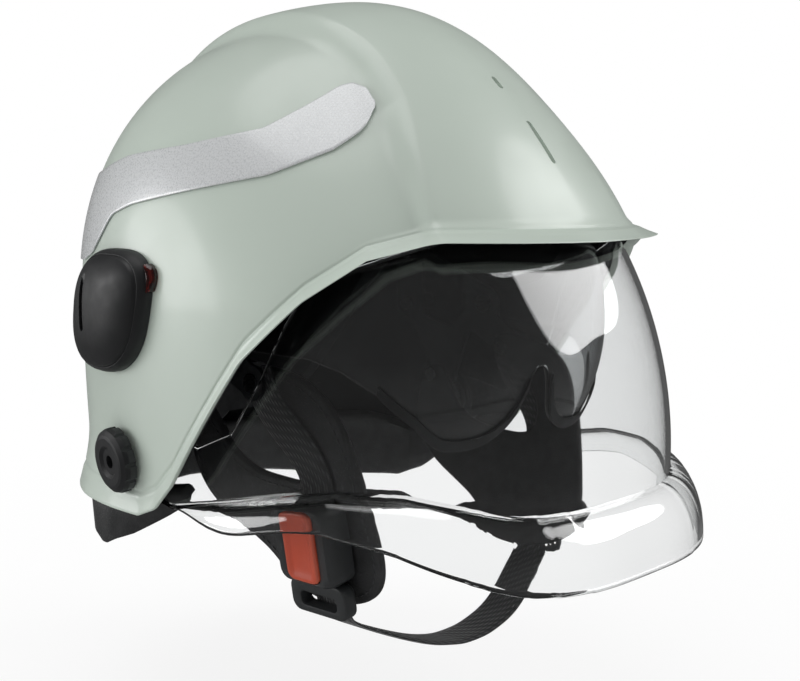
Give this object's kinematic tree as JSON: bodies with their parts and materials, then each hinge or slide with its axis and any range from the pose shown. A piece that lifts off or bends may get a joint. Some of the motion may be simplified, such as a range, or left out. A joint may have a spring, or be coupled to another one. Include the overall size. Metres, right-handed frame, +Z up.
{
  "type": "heat-resistant helmet",
  "caption": "Rescue helmet with a crested shell, clear face shield, inner visor, side covers, ratchet headband and leather chin harness.",
  "frame": {"origin": "centre of the head cavity, where the wearer's head sits", "axes": "+Z up, the face looks along -Y, the wearer's left is +X"},
  "size_m": [0.2764, 0.3167, 0.3024],
  "materials": {
    "shell_paint": "satin heat-resistant coating",
    "black_plastic": "fine grain",
    "reflective_film": "retro-reflective",
    "red_lens": "gloss",
    "clear_shield": "clear, gloss",
    "smoke_visor": "lightly tinted, gloss",
    "seal_rubber": "matt",
    "liner_foam": "moulded foam",
    "pad_fabric": "flame-resistant textile",
    "webbing": "woven",
    "yoke_leather": "matt",
    "steel": "brushed",
    "orange_button": "satin"
  },
  "bodies": {
    "helmet": {"outer_shell": "shell_paint", "rim_seal": "seal_rubber", "reflector_right": "reflective_film", "reflector_left": "reflective_film", "side_cover_right": "black_plastic", "side_cover_left": "black_plastic", "signal_lens_right": "red_lens", "signal_lens_left": "red_lens", "hinge_cap_right": "black_plastic", "hinge_cap_left": "black_plastic", "hinge_bush_right": "steel", "hinge_bush_left": "steel", "hinge_clip_right": "steel", "hinge_clip_left": "steel", "side_frame_right": "black_plastic", "side_frame_left": "black_plastic", "frame_screws": "steel", "visor_pin_right": "steel", "visor_pin_left": "steel", "impact_liner": "liner_foam", "crown_net": "webbing", "headband": "black_plastic", "brow_pad": "pad_fabric", "ratchet_housing": "black_plastic", "ratchet_cover": "black_plastic", "nape_pad": "pad_fabric", "yoke_right": "yoke_leather", "yoke_left": "yoke_leather", "web_right": "webbing", "web_left": "webbing", "yoke_rivets": "steel", "buckle_body": "black_plastic", "chin_strap": "webbing", "strap_slider": "black_plastic"},
    "face_shield_body": {"face_shield": "clear_shield"},
    "inner_visor_body": {"inner_visor": "smoke_visor", "visor_edging": "seal_rubber"},
    "buckle_button_body": {"buckle_button": "orange_button"},
    "buckle_tongue_body": {"buckle_tongue": "black_plastic"},
    "ratchet_knob_body": {"ratchet_knob": "black_plastic", "ratchet_pinion": "steel"},
    "rack_right_body": {"rack_right": "black_plastic", "band_arm_right": "black_plastic"},
    "rack_left_body": {"rack_left": "black_plastic", "band_arm_left": "black_plastic"}
  },
  "joints": [
    {"name": "shield_lift", "type": "hinge", "parent": "helmet", "child": "face_shield_body", "pos_m": [0, 0.031, -0.07], "axis": [-1, 0, 0], "range_deg": [0, 34]},
    {"name": "visor_lift", "type": "hinge", "parent": "helmet", "child": "inner_visor_body", "pos_m": [0, -0.007, -0.0105], "axis": [-1, 0, 0], "range_deg": [0, 54]},
    {"name": "button_push", "type": "slide", "parent": "helmet", "child": "buckle_button_body", "axis": [0.9848, 0, 0.1736], "range_m": [0, 0.0025], "stiffness_N_per_m": 900, "springref_m": -0.002},
    {"name": "tongue_pull", "type": "slide", "parent": "helmet", "child": "buckle_tongue_body", "axis": [0.1736, 0, -0.9848], "range_m": [0, 0.03], "deforming": ["chin_strap"]},
    {"name": "knob_turn", "type": "hinge", "parent": "helmet", "child": "ratchet_knob_body", "pos_m": [0, 0.11, -0.06], "axis": [0, 1, 0], "range_deg": [-95, 95]},
    {"name": "rack_slide_right", "type": "slide", "parent": "helmet", "child": "rack_right_body", "axis": [1, 0, 0], "range_m": [-0.01, 0.01], "deforming": ["band_arm_right"]},
    {"name": "rack_slide_left", "type": "slide", "parent": "helmet", "child": "rack_left_body", "axis": [1, 0, 0], "range_m": [-0.01, 0.01], "deforming": ["band_arm_left"]}
  ],
  "couplings": [
    {"joint": "rack_slide_right", "follows": "knob_turn", "m_per_rad": 0.006},
    {"joint": "rack_slide_left", "follows": "knob_turn", "m_per_rad": -0.006}
  ]
}
